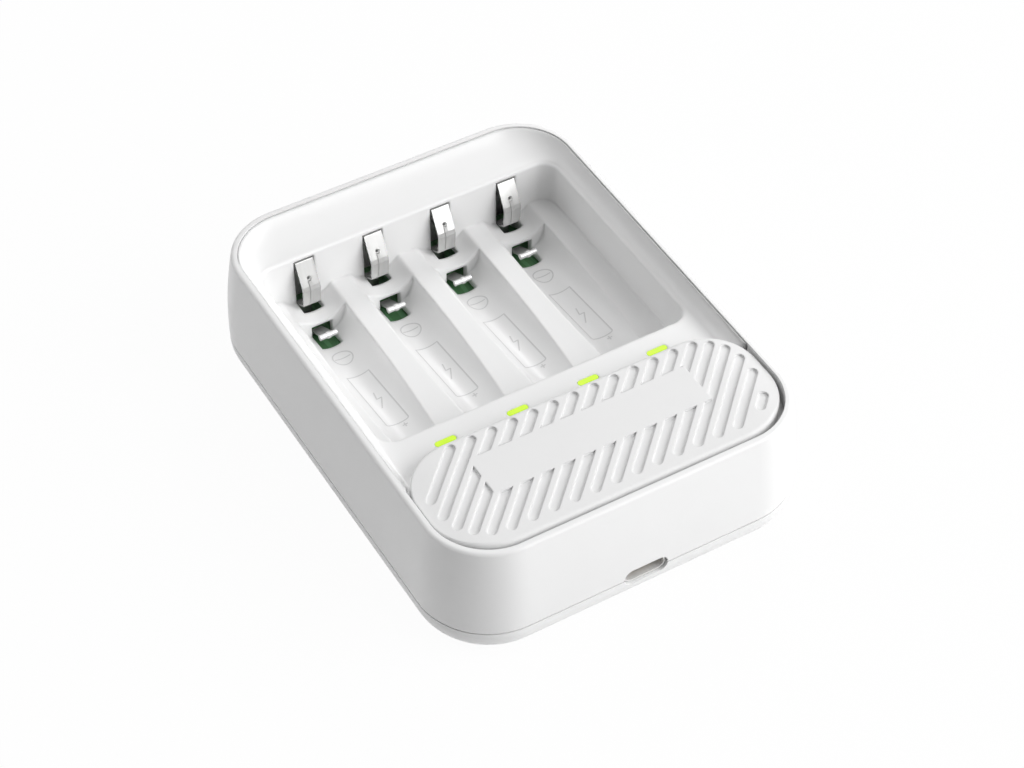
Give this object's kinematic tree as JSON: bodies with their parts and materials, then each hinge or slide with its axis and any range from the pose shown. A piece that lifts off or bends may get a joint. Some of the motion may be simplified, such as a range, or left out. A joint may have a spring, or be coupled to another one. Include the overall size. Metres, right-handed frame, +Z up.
{
  "type": "aa battery charger",
  "caption": "Flat desktop charger for AA and AAA cells: side-by-side channels with leaf contacts, indicator windows, a grooved front panel and an inlet in the front wall.",
  "frame": {"origin": "centre of the box's foot, on the surface that the charger stands on", "axes": "+Y to the rear, where the leaf contacts are; +Z up; the inlet faces -Y"},
  "size_m": [0.0798, 0.104, 0.027],
  "materials": {
    "white_shell": "satin white moulded plastic",
    "white_tray": "semi-gloss white moulded plastic",
    "white_base": "satin white moulded plastic",
    "panel_plastic": "matt white moulded plastic",
    "board_green": "green solder mask",
    "nickel_shell": "nickel-plated drawn shell",
    "black_insulator": "black moulded insulator",
    "led_body": "resin-filled chip",
    "chip_black": "moulded resin",
    "ferrite": "sintered ferrite",
    "capacitor_body": "fired ceramic",
    "screw_steel": "zinc-plated",
    "light_pipe": "lit translucent plastic",
    "spring_steel": "nickel-plated spring strip"
  },
  "bodies": {
    "charger": {"housing_shell": "white_shell", "battery_tray": "white_tray", "bottom_cover": "white_base", "front_panel": "panel_plastic", "circuit_board": "board_green", "light_pipe_1": "light_pipe", "light_pipe_2": "light_pipe", "light_pipe_3": "light_pipe", "light_pipe_4": "light_pipe", "positive_contact_1": "spring_steel", "positive_contact_2": "spring_steel", "positive_contact_3": "spring_steel", "positive_contact_4": "spring_steel", "usb_shell": "nickel_shell", "usb_tongue": "black_insulator", "indicator_leds": "led_body", "controller_chip": "chip_black", "power_inductor": "ferrite", "filter_capacitors": "capacitor_body", "charge_transistors": "chip_black", "sense_resistors": "chip_black", "case_screws": "screw_steel"},
    "aa_leaf_1": {"aa_contact_1": "spring_steel"},
    "aaa_leaf_1": {"aaa_contact_1": "spring_steel"},
    "aa_leaf_2": {"aa_contact_2": "spring_steel"},
    "aaa_leaf_2": {"aaa_contact_2": "spring_steel"},
    "aa_leaf_3": {"aa_contact_3": "spring_steel"},
    "aaa_leaf_3": {"aaa_contact_3": "spring_steel"},
    "aa_leaf_4": {"aa_contact_4": "spring_steel"},
    "aaa_leaf_4": {"aaa_contact_4": "spring_steel"}
  },
  "joints": [
    {"name": "aa_flex_1", "type": "hinge", "parent": "charger", "child": "aa_leaf_1", "pos_m": [-0.0231, 0.0413, 0.0054], "axis": [-1, 0, 0], "range_deg": [0, 9], "stiffness_Nm_per_rad": 0.15},
    {"name": "aaa_flex_1", "type": "hinge", "parent": "charger", "child": "aaa_leaf_1", "pos_m": [-0.0231, 0.0354, 0.0054], "axis": [-1, 0, 0], "range_deg": [0, 15], "stiffness_Nm_per_rad": 0.08},
    {"name": "aa_flex_2", "type": "hinge", "parent": "charger", "child": "aa_leaf_2", "pos_m": [-0.0077, 0.0413, 0.0054], "axis": [-1, 0, 0], "range_deg": [0, 9], "stiffness_Nm_per_rad": 0.15},
    {"name": "aaa_flex_2", "type": "hinge", "parent": "charger", "child": "aaa_leaf_2", "pos_m": [-0.0077, 0.0354, 0.0054], "axis": [-1, 0, 0], "range_deg": [0, 15], "stiffness_Nm_per_rad": 0.08},
    {"name": "aa_flex_3", "type": "hinge", "parent": "charger", "child": "aa_leaf_3", "pos_m": [0.0077, 0.0413, 0.0054], "axis": [-1, 0, 0], "range_deg": [0, 9], "stiffness_Nm_per_rad": 0.15},
    {"name": "aaa_flex_3", "type": "hinge", "parent": "charger", "child": "aaa_leaf_3", "pos_m": [0.0077, 0.0354, 0.0054], "axis": [-1, 0, 0], "range_deg": [0, 15], "stiffness_Nm_per_rad": 0.08},
    {"name": "aa_flex_4", "type": "hinge", "parent": "charger", "child": "aa_leaf_4", "pos_m": [0.0231, 0.0413, 0.0054], "axis": [-1, 0, 0], "range_deg": [0, 9], "stiffness_Nm_per_rad": 0.15},
    {"name": "aaa_flex_4", "type": "hinge", "parent": "charger", "child": "aaa_leaf_4", "pos_m": [0.0231, 0.0354, 0.0054], "axis": [-1, 0, 0], "range_deg": [0, 15], "stiffness_Nm_per_rad": 0.08}
  ]
}
